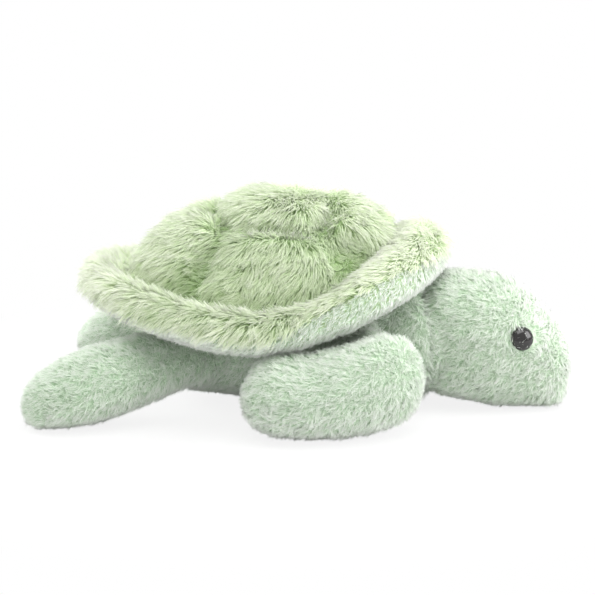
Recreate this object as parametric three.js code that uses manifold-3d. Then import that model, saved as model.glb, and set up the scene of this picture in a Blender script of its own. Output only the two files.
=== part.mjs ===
// A plush sea turtle that lies on its belly with its chin on the floor.
// Millimetres: +X runs to the snout, +Y to the turtle's left and +Z up, and the floor is Z = 0.
// The right side has negative Y. Every cover is its backing cloth and its pile together.

import * as THREE from 'three';
import Module from 'manifold-3d';
import { ConvexGeometry } from 'three/addons/geometries/ConvexGeometry.js';
import { mergeVertices } from 'three/addons/utils/BufferGeometryUtils.js';

// Fits between pieces
const seam_gap = 0.3; // pieces that lie still against each other
const joint_gap = 0.8; // pieces that turn past each other
const nod_gap = 0.4; // the head in its seat on the neck
const floor_flat = 1; // depth of the flats that the toy rests on
const overrun = 20; // how far a cutter reaches past what it cuts

// Cover thicknesses
const body_cover = 5;
const dome_cover = 9;
const rim_cover = 6;
const underside_cover = 4;

// Torso
const torso_rear_x = -97.5;
const torso_length = 158;
const torso_half_width = 52;
const torso_height = 80;
const torso_seam_z = 20;
const torso_front_x = torso_rear_x + torso_length;

// Shell, an oval seen from above, with a stuffed rim round a quilted dome
const shell_behind_front = 87; // from the torso's front back to the shell's middle
const shell_x = torso_front_x - shell_behind_front;
const rim_half_length = 96;
const rim_half_width = 82;
const rim_half_thickness = 14;
const rim_half_height = 13;
const rim_side_z = 57;
const rim_front_rise = 40;
const rim_rear_rise = 17;
const crease_inset = 12.5;
const crest_ahead = 9.5; // from the shell's middle forward to its crest
const crest_x = shell_x + crest_ahead;
const crest_z = 131;
const puff_height = 11;
const panel_z = 60;

// Central hexagon of the quilting, measured from the shell's middle
const hexagon_front = 50.5;
const hexagon_rear = 32.5;
const hexagon_corner_front = 34.5;
const hexagon_corner_rear = 13.5;
const hexagon_half_width = 39;

// Neck, a soft ball in the torso whose front end carries the head
const neck_inset = 8; // from the torso's front back to the turning axis
const neck_turn_x = torso_front_x - neck_inset;
const neck_radius = 33;
const neck_z = 42;

// Head
const head_ahead = 16; // from the neck's axis forward to the head's rear
const head_length = 90;
const head_half_width = 38;
const head_height = 80;
const nod_ahead = 30; // from the neck's axis forward to the nodding axis
const head_rear_x = neck_turn_x + head_ahead;
const head_nod_x = neck_turn_x + nod_ahead;

// Safety eyes
const eye_radius = 7;
const eye_height = 5;
const eye_edge = 0.8;
const eye_sink = 1.6;
const post_radius = 2.2;
const post_tail = 2;
const washer_radius = 6;
const washer_thickness = 1.5;

// Flippers of both pairs: the height of the seam at the joint, from where it slopes down to the tip
const flipper_seam_z = 30;

// Front flippers
const flipper_span = 238; // from side to side of the toy across both paddles
const shoulder_inset = 16; // from the torso's front back to the shoulder
const shoulder_x = torso_front_x - shoulder_inset;
const shoulder_y = 55;
const shoulder_z = 39;
const shoulder_radius = 16;
const shoulder_half_height = 19;
const front_paddle_ahead = 31; // from the shoulder forward to the paddle's front
const front_paddle_length = 105;
const front_paddle_inward = 21;
const front_paddle_half_chord = 30;
const front_paddle_height = 60;
const front_paddle_front_x = shoulder_x + front_paddle_ahead;
const front_paddle_y = flipper_span / 2 - front_paddle_half_chord;

// Rear flippers
const hip_inset = 30; // from the torso's rear forward to the hip
const hip_x = torso_rear_x + hip_inset;
const hip_y = 46;
const hip_radius = 18;
const rear_paddle_length = 98;
const rear_paddle_half_chord = 31;
const rear_paddle_height = 51;

// Joint ranges in degrees
const neck_turn_each_way = 15;
const head_nod_up = 15;
const head_nod_down = 12;
const front_sweep_out = 40;
const rear_sweep_out = 20;
const rear_sweep_in = 20;

// Directions in degrees
const rear_paddle_angle = 25.5;
const flipper_seam_angle = 8;
const eye_forward_angle = 25;
const eye_up_angle = 15;
const rim_seam_angle = -10;
const rim_inner_angle = 205;
const rim_foot_angle = 235;
const corner_front_angle = 39;
const corner_rear_angle = 117;

// Counts
const sector_steps = 5;
const lining_steps = 6;
const ring_points = 20;
const flipper_points = 12;
const eye_segments = 16;
const washer_segments = 12;
const neck_sweep_steps = 2;
const head_sweep_steps = 4;
const flipper_sweep_steps = 1;

// Exponents that make a form rounder or fuller
const dome_fullness = 0.5;
const section_fullness = 2.3;
const front_rise_power = 2;
const rear_rise_power = 1.2;
const panel_power = 1.2;
const crease_power = 8;

// Stations of the torso: place along it, half width, lowest and highest point
const torso_shares = [
  [0, 0, 0.56, 0.56],
  [0.015, 0.27, 0.42, 0.7],
  [0.065, 0.52, 0.2, 0.8],
  [0.18, 0.77, 0.085, 0.85],
  [0.35, 0.95, 0.07, 0.86],
  [0.54, 1, 0, 0.86],
  [0.73, 0.96, 0, 0.92],
  [0.87, 0.84, 0, 0.98],
  [0.95, 0.66, 0.08, 0.98],
  [0.988, 0.4, 0.25, 0.85],
  [1, 0, 0.55, 0.55],
];

// Stations of the head
const head_shares = [
  [0, 0, 0.55, 0.55],
  [0.012, 0.42, 0.3, 0.8],
  [0.05, 0.74, 0.14, 0.95],
  [0.13, 0.92, 0.08, 1],
  [0.25, 0.99, 0.06, 1],
  [0.38, 1, 0.04, 1],
  [0.5, 0.94, 0, 0.985],
  [0.62, 0.84, 0, 0.935],
  [0.73, 0.74, 0, 0.83],
  [0.84, 0.62, 0, 0.7],
  [0.93, 0.48, 0.015, 0.56],
  [0.98, 0.29, 0.09, 0.44],
  [1, 0, 0.26, 0.26],
];
const eye_along_share = 0.672;
const eye_turn_share = 0.045;

// Stations of a front paddle: place along it, half chord, inward bend, lowest and highest point
const front_paddle_shares = [
  [0, 0, 0.95, 0.52, 0.52],
  [0.03, 0.44, 0.92, 0.28, 0.76],
  [0.11, 0.76, 0.82, 0.12, 0.95],
  [0.25, 0.95, 0.58, 0.04, 1],
  [0.43, 1, 0.28, 0, 0.88],
  [0.62, 0.98, 0.1, 0, 0.77],
  [0.8, 0.86, 0, 0.02, 0.75],
  [0.92, 0.62, 0, 0.1, 0.68],
  [0.98, 0.34, 0, 0.23, 0.56],
  [1, 0, 0, 0.4, 0.4],
];

// Stations of a rear paddle behind the hip: place, half chord, lowest and highest point
const rear_paddle_shares = [
  [0, 0.58, 0.33, 1],
  [0.17, 0.77, 0.23, 1],
  [0.36, 0.94, 0.12, 0.98],
  [0.56, 1, 0.03, 0.91],
  [0.74, 0.92, 0, 0.79],
  [0.88, 0.7, 0, 0.64],
  [0.96, 0.43, 0.06, 0.49],
  [1, 0, 0.26, 0.26],
];

// Rings of the quilted dome inside and outside the hexagon, on its face and under its cover
const hexagon_ring_shares = [0.38, 0.7, 0.9, 1];
const scute_ring_shares = [0.1, 0.35, 0.7, 0.92, 1];
const lining_hexagon_shares = [0.6, 1];
const lining_scute_shares = [0.4, 0.75, 1];
const panel_ring_shares = [0.35, 0.72];
const root_ring_shares = [0.9, 0.5];

const wasm = await Module();
wasm.setup();

const radians = THREE.MathUtils.degToRad;
const lerp = THREE.MathUtils.lerp;
const power = (value, exponent) => Math.sign(value) * Math.abs(value) ** exponent;

// Geometry and solids

// Joins rings of points into a closed skin. A ring of one point is a pole, and a loop joins its ends.
// A four-sided face is split along its shorter diagonal, so that a cover and its stuffing split alike.
function skin(rings, loop = false) {
  const points = rings.flat();
  const starts = [];
  let count = 0;
  for (const ring of rings) {
    starts.push(count);
    count += ring.length;
  }
  const faces = [];
  const last = loop ? rings.length : rings.length - 1;
  for (let r = 0; r < last; r += 1) {
    const next = (r + 1) % rings.length;
    const sides = Math.max(rings[r].length, rings[next].length);
    for (let i = 0; i < sides; i += 1) {
      const j = (i + 1) % sides;
      const a = starts[r] + (rings[r].length > 1 ? i : 0);
      const b = starts[r] + (rings[r].length > 1 ? j : 0);
      const c = starts[next] + (rings[next].length > 1 ? j : 0);
      const d = starts[next] + (rings[next].length > 1 ? i : 0);
      const along_ac = points[a].distanceTo(points[c]) <= points[b].distanceTo(points[d]);
      if (a === b) faces.push([a, c, d]);
      else if (c === d) faces.push([a, b, c]);
      else if (along_ac) faces.push([a, b, c], [a, c, d]);
      else faces.push([a, b, d], [b, c, d]);
    }
  }
  let volume = 0;
  for (const [a, b, c] of faces) {
    volume += points[a].dot(new THREE.Vector3().crossVectors(points[b], points[c]));
  }
  const outward = volume > 0 ? faces : faces.map(([a, b, c]) => [a, c, b]);
  const geometry = new THREE.BufferGeometry().setFromPoints(points);
  geometry.setIndex(outward.flat());
  return geometry;
}

// Makes a solid of a closed geometry for cutting and joining.
function solid(geometry) {
  const bare = geometry.clone();
  bare.deleteAttribute('normal');
  bare.deleteAttribute('uv');
  const merged = mergeVertices(bare);
  const vertProperties = new Float32Array(merged.attributes.position.array);
  const triVerts = new Uint32Array(merged.index.array);
  return new wasm.Manifold(new wasm.Mesh({ numProp: 3, vertProperties, triVerts }));
}

// Turns a solid back into a geometry.
function shape(body) {
  const mesh = body.getMesh();
  const geometry = new THREE.BufferGeometry();
  geometry.setAttribute('position', new THREE.BufferAttribute(new Float32Array(mesh.vertProperties), 3));
  geometry.setIndex(new THREE.BufferAttribute(new Uint32Array(mesh.triVerts), 1));
  return geometry;
}

// The half of space on the side of a plane that its normal points to, as a block past the whole toy.
function halfSpace(point, normal) {
  const reach = 2 * (rim_half_length + head_length + rear_paddle_length + overrun);
  const block = new THREE.BoxGeometry(reach, reach, reach);
  block.translate(0, 0, reach / 2 + seam_gap / 2);
  block.applyQuaternion(new THREE.Quaternion().setFromUnitVectors(new THREE.Vector3(0, 0, 1), normal));
  block.translate(point.x, point.y, point.z);
  return solid(block);
}

// A solid's corners after it has turned about an axis through a point.
function turnedCorners(body, point, axis, angle) {
  const corners = shape(body).attributes.position;
  const turned = [];
  for (let i = 0; i < corners.count; i += 1) {
    const corner = new THREE.Vector3().fromBufferAttribute(corners, i);
    turned.push(corner.sub(point).applyAxisAngle(axis, radians(angle)).add(point));
  }
  return turned;
}

// What a solid passes through while it turns: a taut skin round each step, joined to the next.
function sweep(body, point, axis, from, to, steps) {
  let path = null;
  for (let step = 0; step < steps; step += 1) {
    const angles = [step, step + 1].map((count) => from + ((to - from) * count) / steps);
    const corners = angles.flatMap((angle) => turnedCorners(body, point, axis, angle));
    const stretch = solid(new ConvexGeometry(corners));
    path = path ? path.add(stretch) : stretch;
  }
  return path;
}

// Shell

// The ring line that each point of the shell's rings lies on, from the hexagon out to the rim.
const corner_angles = [0, corner_front_angle, corner_rear_angle, 180,
  360 - corner_rear_angle, 360 - corner_front_angle, 360];
const hexagon_corners = [
  new THREE.Vector2(shell_x + hexagon_front, 0),
  new THREE.Vector2(shell_x + hexagon_corner_front, hexagon_half_width),
  new THREE.Vector2(shell_x - hexagon_corner_rear, hexagon_half_width),
  new THREE.Vector2(shell_x - hexagon_rear, 0),
  new THREE.Vector2(shell_x - hexagon_corner_rear, -hexagon_half_width),
  new THREE.Vector2(shell_x + hexagon_corner_front, -hexagon_half_width),
];
const shell_lines = [];
for (let sector = 0; sector < hexagon_corners.length; sector += 1) {
  for (let step = 0; step < sector_steps; step += 1) {
    const share = step / sector_steps;
    const next = hexagon_corners[(sector + 1) % hexagon_corners.length];
    shell_lines.push({
      angle: radians(lerp(corner_angles[sector], corner_angles[sector + 1], share)),
      hexagon: hexagon_corners[sector].clone().lerp(next, share),
      bulge: Math.sqrt(4 * share * (1 - share)),
    });
  }
}

// Height of the rim's centre line, which rises to the front and a little to the rear.
function rimHeight(angle) {
  const along = Math.cos(angle);
  if (along > 0) return rim_side_z + rim_front_rise * along ** front_rise_power;
  return rim_side_z + rim_rear_rise * (-along) ** rear_rise_power;
}

// A point beside the rim's centre line: out from it, and up from it.
function rimPoint(line, out, up) {
  return new THREE.Vector3(
    shell_x + (rim_half_length + out) * Math.cos(line.angle),
    (rim_half_width + out) * Math.sin(line.angle),
    rimHeight(line.angle) + up,
  );
}

// A ring of the rim's round section, at an angle about its centre line.
function rimRing(section_angle, grow) {
  const turn = radians(section_angle);
  const out = (rim_half_thickness + grow) * Math.cos(turn);
  const up = (rim_half_height + grow) * Math.sin(turn);
  return shell_lines.map((line) => rimPoint(line, out, up));
}

// Rings of the rim's section from one angle to another.
function rimArc(from, to, steps, grow) {
  const rings = [];
  for (let step = 0; step <= steps; step += 1) {
    rings.push(rimRing(from + ((to - from) * step) / steps, grow));
  }
  return rings;
}

// Height of the crease above the rim's centre line, where the dome rests on the rim.
const crease_up = rim_half_height * Math.sqrt(1 - (crease_inset / rim_half_thickness) ** 2) + seam_gap;

// A ring of the dome's skin. The depth below the pile's face is 0 outside. The face is drawn in at the
// quilting's seams, square to the dome, and the lining under the cover is smooth.
function domeRing(ring_share, in_hexagon, depth, puffed) {
  const pole = new THREE.Vector2(crest_x, 0);
  return shell_lines.map((line) => {
    const edge = rimPoint(line, -crease_inset - depth, crease_up);
    const edge_flat = new THREE.Vector2(edge.x, edge.y);
    const inner = in_hexagon ? pole : line.hexagon;
    const outer = in_hexagon ? line.hexagon : edge_flat;
    const flat = inner.clone().lerp(outer, ring_share);
    const hexagon_share = line.hexagon.distanceTo(pole) / edge_flat.distanceTo(pole);
    const reach = in_hexagon ? ring_share * hexagon_share : hexagon_share + (1 - hexagon_share) * ring_share;
    const rise = (1 - reach ** 2) ** dome_fullness;
    const top_z = puffed ? crest_z : crest_z - puff_height - depth;
    const point = new THREE.Vector3(flat.x, flat.y, edge.z + (top_z - edge.z) * rise);
    if (!puffed) return point;
    const from_hexagon = Math.sqrt(1 - (1 - ring_share) ** 3);
    const over_seam = in_hexagon ? Math.sqrt(1 - ring_share ** 3) : line.bulge * from_hexagon;
    const lean = reach ** 2;
    const inward = new THREE.Vector3(pole.x - flat.x, -flat.y, 0).normalize().multiplyScalar(lean);
    inward.z = -Math.sqrt(1 - lean ** 2);
    return point.addScaledVector(inward, puff_height * (1 - over_seam) * (1 - reach ** crease_power));
  });
}

// The quilted face of the dome from its pole to the crease.
function domeFace() {
  return [
    [new THREE.Vector3(crest_x, 0, crest_z)],
    ...hexagon_ring_shares.map((share) => domeRing(share, true, 0, true)),
    ...scute_ring_shares.map((share) => domeRing(share, false, 0, true)),
  ];
}

// The smooth inside of the dome's cover, or the stuffing's face a little below it.
function domeLining(drop) {
  const rings = [
    [new THREE.Vector3(crest_x, 0, crest_z - puff_height - dome_cover)],
    ...lining_hexagon_shares.map((share) => domeRing(share, true, dome_cover, false)),
    ...lining_scute_shares.map((share) => domeRing(share, false, dome_cover, false)),
  ];
  return rings.map((ring) => ring.map((point) => point.setZ(point.z - drop)));
}

// The rings of the panel that closes the shell below, from its middle to the rim's foot.
function panelRings(lift) {
  const rings = [[new THREE.Vector3(shell_x, 0, panel_z + lift)]];
  const foot = rimRing(rim_foot_angle, 0);
  for (const share of panel_ring_shares) {
    rings.push(foot.map((point) => new THREE.Vector3(
      shell_x + (point.x - shell_x) * share,
      point.y * share,
      panel_z + (point.z - panel_z) * share ** panel_power + lift,
    )));
  }
  return rings;
}

function shellDomeCover() {
  return skin([...domeFace(), ...domeLining(0).reverse()]);
}

function shellRimCover() {
  const outer = rimArc(rim_seam_angle, rim_inner_angle, 8, 0);
  const inner = rimArc(rim_inner_angle, rim_seam_angle, lining_steps, -rim_cover);
  return skin([...outer, ...inner], true);
}

function shellUnderside() {
  const gap_angle = THREE.MathUtils.radToDeg(2 * seam_gap / rim_half_height);
  const outer = rimArc(rim_foot_angle, 360 + rim_seam_angle - gap_angle, 4, 0);
  const inner = rimArc(360 + rim_seam_angle - gap_angle, rim_foot_angle, 3, -underside_cover);
  const above = panelRings(underside_cover);
  return skin([...panelRings(0), ...outer, ...inner, ...above.reverse()]);
}

function shellFilling() {
  const top = domeLining(seam_gap);
  const side = -rim_half_thickness - 2 * seam_gap;
  const below = panelRings(underside_cover + seam_gap);
  return skin([
    ...top,
    shell_lines.map((line) => rimPoint(line, side, 0)),
    ...below.reverse(),
  ]);
}

function rimFilling() {
  const step = (rim_inner_angle - rim_seam_angle) / lining_steps;
  const rings = [];
  for (let turn = 0; turn + step / 2 < 360; turn += step) {
    rings.push(rimRing(rim_seam_angle + turn, -rim_cover - seam_gap));
  }
  return skin(rings, true);
}

// What the shell takes up from its underside upwards, with a gap all round, for cutting what lies below.
function shellCutter(gap) {
  const outer = rimArc(rim_foot_angle, 360 + rim_seam_angle, 4, gap);
  const top = shell_lines.map((line) => rimPoint(line, rim_half_thickness, 0).setZ(crest_z));
  return solid(skin([
    ...panelRings(-gap),
    ...outer,
    top,
    [new THREE.Vector3(shell_x, 0, crest_z)],
  ]));
}

// Stuffed forms along X

// A ring of the form's section, full in its corners and flat where it rests on the floor.
function sectionRing(x, half_width, low, high, floor_z) {
  const ring = [];
  for (let i = 0; i < ring_points; i += 1) {
    const turn = (2 * Math.PI * (i + 0.5)) / ring_points;
    const y = half_width * power(Math.cos(turn), 2 / section_fullness);
    const z = (low + high) / 2 + ((high - low) / 2) * power(Math.sin(turn), 2 / section_fullness);
    ring.push(new THREE.Vector3(x, y, Math.max(z, floor_z)));
  }
  return ring;
}

// A form that swells and tapers through its stations, with its faces moved out by a length.
function stuffedForm(rear_x, length, half_width, height, shares, grow) {
  const rings = shares.map(([along, width, low, high]) => {
    const x = lerp(rear_x - grow, rear_x + length + grow, along);
    const low_z = lerp(-grow, height + grow, low) - floor_flat;
    const high_z = lerp(-grow, height + grow, high);
    if (width === 0) return [new THREE.Vector3(x, 0, (low_z + high_z) / 2)];
    return sectionRing(x, width * (half_width + grow), low_z, high_z, -grow);
  });
  return solid(skin(rings));
}

const torsoForm = (grow) =>
  stuffedForm(torso_rear_x, torso_length, torso_half_width, torso_height, torso_shares, grow);
const headForm = (grow) =>
  stuffedForm(head_rear_x, head_length, head_half_width, head_height, head_shares, grow);

// The neck: a ball about its turning axis that runs on into the head.
function neckForm(grow) {
  const radius = neck_radius + grow;
  const ring = (x, size) => {
    const points = [];
    for (let i = 0; i < ring_points; i += 1) {
      const turn = (2 * Math.PI * (i + 0.5)) / ring_points;
      points.push(new THREE.Vector3(x, size * Math.cos(turn), neck_z + size * Math.sin(turn)));
    }
    return points;
  };
  const front_x = head_nod_x + grow;
  return solid(skin([
    [new THREE.Vector3(neck_turn_x - radius, 0, neck_z)],
    ...root_ring_shares.map((share) => ring(neck_turn_x - radius * share, radius * Math.sqrt(1 - share ** 2))),
    ring(neck_turn_x, radius),
    ring(front_x, radius),
    [new THREE.Vector3(front_x, 0, neck_z)],
  ]));
}

// Flippers

// Middle height and half thickness of a flipper between its lowest and highest point.
function lensHeights(low, high, height, grow) {
  const low_z = lerp(-grow, height + grow, low) - floor_flat;
  const high_z = lerp(-grow, height + grow, high);
  return [(low_z + high_z) / 2, (high_z - low_z) / 2];
}

// A ring of a flipper's lens section, square to its path, flat where it lies on the floor.
function lensRing(centre, across, half_chord, half_thickness, floor_z) {
  const ring = [];
  for (let i = 0; i < flipper_points; i += 1) {
    const turn = (2 * Math.PI * (i + 0.5)) / flipper_points;
    const point = centre.clone().addScaledVector(across, half_chord * Math.cos(turn));
    point.z = Math.max(point.z + half_thickness * Math.sin(turn), floor_z);
    ring.push(point);
  }
  return ring;
}

// The round root of a flipper about its joint's upright axis.
function flipperRoot(x, y, z, radius, half_height, grow) {
  const rings = [[new THREE.Vector3(x, y, z - half_height - grow)]];
  const rows = [...root_ring_shares, 0, ...root_ring_shares.map((share) => -share).reverse()];
  for (const share of rows) {
    const size = (radius + grow) * Math.sqrt(1 - share ** 2);
    const ring = [];
    for (let i = 0; i < flipper_points; i += 1) {
      const turn = (2 * Math.PI * i) / flipper_points;
      ring.push(new THREE.Vector3(
        x + size * Math.cos(turn),
        y + size * Math.sin(turn),
        z - (half_height + grow) * share,
      ));
    }
    rings.push(ring);
  }
  rings.push([new THREE.Vector3(x, y, z + half_height + grow)]);
  return solid(skin(rings));
}

// A front flipper lies along the body: a paddle that grows out of a round shoulder.
function frontFlipperForm(side, grow) {
  const tip_x = front_paddle_front_x - front_paddle_length;
  const rings = front_paddle_shares.map(([along, chord, inward, low, high]) => {
    const [middle_z, half_thickness] = lensHeights(low, high, front_paddle_height, grow);
    const centre = new THREE.Vector3(
      lerp(front_paddle_front_x + grow, tip_x - grow, along),
      side * (front_paddle_y - front_paddle_inward * inward),
      middle_z,
    );
    if (chord === 0) return [centre];
    const half_chord = chord * (front_paddle_half_chord + grow);
    return lensRing(centre, new THREE.Vector3(0, 1, 0), half_chord, half_thickness, -grow);
  });
  const root = flipperRoot(
    shoulder_x, side * shoulder_y, shoulder_z, shoulder_radius, shoulder_half_height, grow);
  return solid(skin(rings)).add(root);
}

// A rear flipper runs back and out from a round hip.
function rearFlipperForm(side, grow) {
  const turn = radians(rear_paddle_angle);
  const along_path = new THREE.Vector3(-Math.cos(turn), side * Math.sin(turn), 0);
  const across = new THREE.Vector3(-along_path.y, along_path.x, 0);
  const [, , root_low, root_high] = rear_paddle_shares[0];
  const [root_z, root_half_height] = lensHeights(root_low, root_high, rear_paddle_height, grow);
  const hip = new THREE.Vector3(hip_x, side * hip_y, root_z);
  const rings = [[hip.clone().addScaledVector(along_path, -hip_radius - grow)]];
  for (const share of root_ring_shares) {
    const centre = hip.clone().addScaledVector(along_path, -(hip_radius + grow) * share);
    const size = Math.sqrt(1 - share ** 2);
    rings.push(lensRing(centre, across, (hip_radius + grow) * size, root_half_height * size, -grow));
  }
  for (const [along, chord, low, high] of rear_paddle_shares) {
    const [middle_z, half_thickness] = lensHeights(low, high, rear_paddle_height, grow);
    const centre = hip.clone().addScaledVector(along_path, along * (rear_paddle_length + grow));
    centre.z = middle_z;
    const half_chord = chord * (rear_paddle_half_chord + grow);
    rings.push(chord === 0 ? [centre] : lensRing(centre, across, half_chord, half_thickness, -grow));
  }
  return solid(skin(rings));
}

// Eyes

// The eye's seat on the head: its place, and the way that it looks.
function eyeSeat(side) {
  const turned = radians(eye_forward_angle);
  const raised = radians(eye_up_angle);
  const normal = new THREE.Vector3(
    Math.sin(turned) * Math.cos(raised), side * Math.cos(turned) * Math.cos(raised), Math.sin(raised));
  const after = head_shares.findIndex(([along]) => along > eye_along_share);
  const from = head_shares[after - 1];
  const to = head_shares[after];
  const mix = (eye_along_share - from[0]) / (to[0] - from[0]);
  const [along, width, low, high] = from.map((share, i) => lerp(share, to[i], mix));
  const angle = 2 * Math.PI * eye_turn_share;
  const middle = (low + high) / 2;
  const point = new THREE.Vector3(
    head_rear_x + along * head_length,
    side * width * head_half_width * power(Math.cos(angle), 2 / section_fullness),
    head_height * (middle + ((high - low) / 2) * power(Math.sin(angle), 2 / section_fullness)),
  );
  return { point: point.addScaledVector(normal, -eye_sink), normal };
}

// Turns a lathe shape so that its own upright axis looks out of the head at an eye's seat.
function seated(profile, segments, seat) {
  const geometry = new THREE.LatheGeometry(profile, segments);
  geometry.applyQuaternion(new THREE.Quaternion().setFromUnitVectors(new THREE.Vector3(0, 1, 0), seat.normal));
  geometry.translate(seat.point.x, seat.point.y, seat.point.z);
  return geometry;
}

// A closed lathe profile of a plain round plug or ring between two heights.
function plug(inner_radius, outer_radius, bottom, top) {
  const inner = inner_radius > 0;
  const profile = [
    new THREE.Vector2(inner_radius, bottom),
    new THREE.Vector2(outer_radius, bottom),
    new THREE.Vector2(outer_radius, top),
    new THREE.Vector2(inner_radius, top),
  ];
  if (inner) profile.push(profile[0].clone());
  return profile;
}

const post_length = body_cover + washer_thickness + post_tail;

// A domed eye with a post behind it, from the post's end to the top of the dome.
function eyeProfile() {
  const profile = [
    new THREE.Vector2(0, -post_length),
    new THREE.Vector2(post_radius, -post_length),
    new THREE.Vector2(post_radius, 0),
    new THREE.Vector2(eye_radius - eye_edge, 0),
  ];
  const rows = 5;
  for (let row = 0; row <= rows; row += 1) {
    const turn = ((Math.PI / 2) * row) / rows;
    const rise = eye_edge + (eye_height - eye_edge) * Math.sin(turn);
    profile.push(new THREE.Vector2(row === rows ? 0 : eye_radius * Math.cos(turn), rise));
  }
  return profile;
}

const washerBottom = -body_cover - seam_gap - washer_thickness;
const washerTop = -body_cover - seam_gap;

// Assembly

const sage = { color: 0xc3d6c1, roughness: 0.95, metalness: 0 };
const sage_underside = { color: 0xb4c9b3, roughness: 0.95, metalness: 0 };
const shell_green = { color: 0xc9dca6, roughness: 0.95, metalness: 0 };
const fibre_white = { color: 0xf4f2ec, roughness: 1, metalness: 0 };
const eye_black = { color: 0x0c0b0b, roughness: 0.08, metalness: 0 };
const washer_plastic = { color: 0xe6e4de, roughness: 0.5, metalness: 0 };

const turtle = new THREE.Group();

// Adds a sub-part under its own name.
function place(parent, name, geometry, finish) {
  geometry.computeVertexNormals();
  const mesh = new THREE.Mesh(geometry, new THREE.MeshStandardMaterial(finish));
  mesh.name = name;
  parent.add(mesh);
}

// A cover is what lies between a form's face and its stuffing.
const coverOf = (form) => form(0).subtract(form(-body_cover));
const fillingOf = (form) => form(-body_cover - seam_gap);

const flipper_seam_tilt = radians(flipper_seam_angle);
const upright = new THREE.Vector3(0, 0, 1);
const crosswise = new THREE.Vector3(0, 1, 0);
const sides = [['right', -1], ['left', 1]];

// Shell
const shell = new THREE.Group();
place(shell, 'shell_dome_cover', shellDomeCover(), shell_green);
place(shell, 'shell_rim_cover', shellRimCover(), shell_green);
place(shell, 'shell_underside', shellUnderside(), sage);
place(shell, 'shell_filling', shellFilling(), fibre_white);
place(shell, 'rim_filling', rimFilling(), fibre_white);
turtle.add(shell);

// Head
const head = new THREE.Group();
let head_cover = coverOf(headForm);
let head_filling = fillingOf(headForm);
for (const [name, side] of sides) {
  const seat = eyeSeat(side);
  const pocket = plug(0, eye_radius + seam_gap, -seam_gap, overrun);
  const post_hole = plug(0, post_radius + seam_gap, -post_length - seam_gap, overrun);
  const washer_pocket = plug(0, washer_radius + seam_gap, washerBottom - seam_gap, 0);
  const washer = plug(post_radius + seam_gap, washer_radius, washerBottom, washerTop);
  head_cover = head_cover
    .subtract(solid(seated(pocket, eye_segments, seat)))
    .subtract(solid(seated(post_hole, eye_segments, seat)));
  head_filling = head_filling
    .subtract(solid(seated(post_hole, eye_segments, seat)))
    .subtract(solid(seated(washer_pocket, washer_segments, seat)));
  place(head, `eye_${name}`, seated(eyeProfile(), eye_segments, seat), eye_black);
  place(head, `eye_washer_${name}`, seated(washer, washer_segments, seat), washer_plastic);
}
for (const [name, side] of sides) {
  const half = halfSpace(new THREE.Vector3(), new THREE.Vector3(0, side, 0));
  place(head, `head_cover_${name}`, shape(head_cover.intersect(half)), sage);
}
place(head, 'head_filling', shape(head_filling), fibre_white);
turtle.add(head);

// Neck
const neck = new THREE.Group();
const nod_point = new THREE.Vector3(head_nod_x, 0, neck_z);
const head_path = sweep(
  headForm(nod_gap), nod_point, crosswise, -head_nod_up, head_nod_down, head_sweep_steps);
place(neck, 'neck_cover', shape(coverOf(neckForm).subtract(head_path)), sage);
place(neck, 'neck_filling', shape(fillingOf(neckForm).subtract(head_path)), fibre_white);
turtle.add(neck);

// Flippers, and the room that they turn in
const turn_point = new THREE.Vector3(neck_turn_x, 0, neck_z);
const neck_path = sweep(
  neckForm(joint_gap), turn_point, upright, -neck_turn_each_way, neck_turn_each_way, neck_sweep_steps);
let room = shellCutter(seam_gap).add(neck_path);
for (const [name, side] of sides) {
  const shoulder = new THREE.Vector3(shoulder_x, side * shoulder_y, 0);
  const hip = new THREE.Vector3(hip_x, side * hip_y, 0);
  const limbs = [
    ['front', frontFlipperForm, shoulder, 0, front_sweep_out],
    ['rear', rearFlipperForm, hip, rear_sweep_in, rear_sweep_out],
  ];
  for (const [limb, form, joint, sweep_in, sweep_out] of limbs) {
    const flipper = new THREE.Group();
    const sided = (grow) => form(side, grow);
    const tilt = new THREE.Vector3(-Math.sin(flipper_seam_tilt), 0, Math.cos(flipper_seam_tilt));
    const seam_point = new THREE.Vector3(joint.x, 0, flipper_seam_z);
    const cover = coverOf(sided);
    const above = halfSpace(seam_point, tilt);
    const below = halfSpace(seam_point, tilt.clone().negate());
    place(flipper, `${limb}_flipper_top_${name}`, shape(cover.intersect(above)), sage);
    place(flipper, `${limb}_flipper_underside_${name}`, shape(cover.intersect(below)), sage_underside);
    place(flipper, `${limb}_flipper_filling_${name}`, shape(fillingOf(sided)), fibre_white);
    turtle.add(flipper);
    const path = sweep(
      sided(joint_gap), joint, upright, side * sweep_in, -side * sweep_out, flipper_sweep_steps);
    room = room.add(path);
  }
}

// Torso, cut by the larger shell and by the room that the neck and flippers turn in
const torso = new THREE.Group();
const torso_cover = coverOf(torsoForm).subtract(room);
const torso_seam = new THREE.Vector3(0, 0, torso_seam_z);
place(torso, 'torso_upper_cover', shape(torso_cover.intersect(halfSpace(torso_seam, upright))), sage);
const below_seam = halfSpace(torso_seam, upright.clone().negate());
place(torso, 'belly_panel', shape(torso_cover.intersect(below_seam)), sage_underside);
place(torso, 'torso_filling', shape(fillingOf(torsoForm).subtract(room)), fibre_white);
turtle.add(torso);

export default turtle;
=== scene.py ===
# %% [markdown]
# # A plush sea turtle
#
# The toy is a stuffed turtle of about 316 mm. Its body, head and flippers have a short, matted sage pile.
# Its shell has a long, silky yellow-green pile over a quilted dome and a fat stuffed rim.
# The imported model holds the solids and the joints. This lesson gives them their cloth, pile and eyes.

# %% Frame
import math
import bmesh
import bpy
import numpy as np
from mathutils import Matrix, Vector
from mathutils.bvhtree import BVHTree
from mathutils.kdtree import KDTree


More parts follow.
